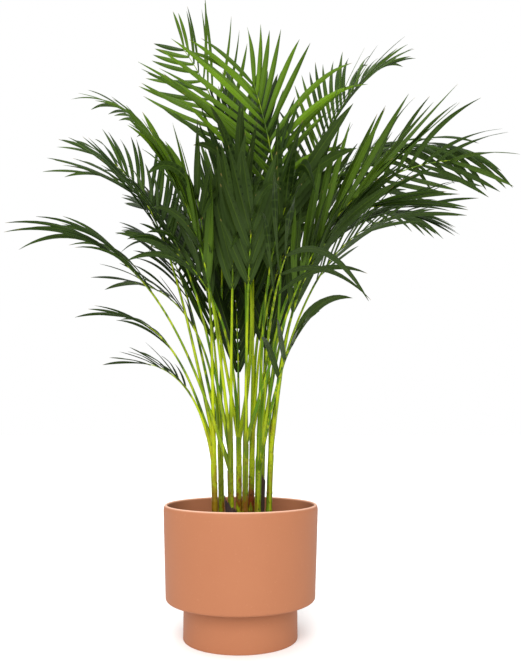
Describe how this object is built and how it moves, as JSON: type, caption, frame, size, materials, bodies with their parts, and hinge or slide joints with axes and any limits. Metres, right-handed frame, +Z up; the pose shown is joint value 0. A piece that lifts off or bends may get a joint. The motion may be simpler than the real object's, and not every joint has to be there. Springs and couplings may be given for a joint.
{
  "type": "potted palm",
  "caption": "Clumping areca palm with slim canes and arching feathery fronds, in a stepped cylindrical terracotta planter with a narrower foot.",
  "frame": {"origin": "centre of the planter's flat underside, where it stands on the floor", "axes": "+Z up, along the planter's axis and the canes; -Y towards the side seen in the picture; +X to the picture's right"},
  "size_m": [0.9629, 0.8939, 1.3089],
  "materials": {
    "planter": "matte",
    "nursery_pot": "matte",
    "soil": "matte",
    "dry_sheath": "matte",
    "cane": "satin",
    "frond": "satin"
  },
  "bodies": {
    "root": {"planter": "planter", "nursery_pot": "nursery_pot", "soil": "soil", "dry_sheath": "dry_sheath", "cane_1": "cane", "cane_2": "cane", "cane_3": "cane", "cane_4": "cane", "cane_5": "cane", "cane_6": "cane", "cane_7": "cane", "cane_8": "cane", "cane_9": "cane", "frond_low_left": "frond", "frond_second_left": "frond", "frond_third_left": "frond", "frond_long_left": "frond", "frond_dark_left": "frond", "frond_dark_left_front": "frond", "frond_mid_left": "frond", "frond_mid_left_back": "frond", "frond_high_left": "frond", "frond_high_left_front": "frond", "frond_top_left": "frond", "frond_top_centre": "frond", "frond_top_right": "frond", "frond_bright_right": "frond", "frond_far_right": "frond", "frond_arching_right": "frond", "frond_mid_right": "frond", "frond_low_right": "frond", "frond_lower_right": "frond", "frond_small_right": "frond", "frond_front_left": "frond", "frond_front_right": "frond", "frond_back_left": "frond", "frond_back_right": "frond", "frond_back_centre": "frond", "frond_centre_front": "frond", "frond_centre_left": "frond", "frond_centre_right": "frond", "frond_curling_right": "frond", "frond_inner_left": "frond", "frond_inner_right": "frond", "frond_upper_right": "frond", "frond_upper_left": "frond", "frond_front_middle": "frond", "frond_lower_front": "frond"}
  },
  "joints": []
}
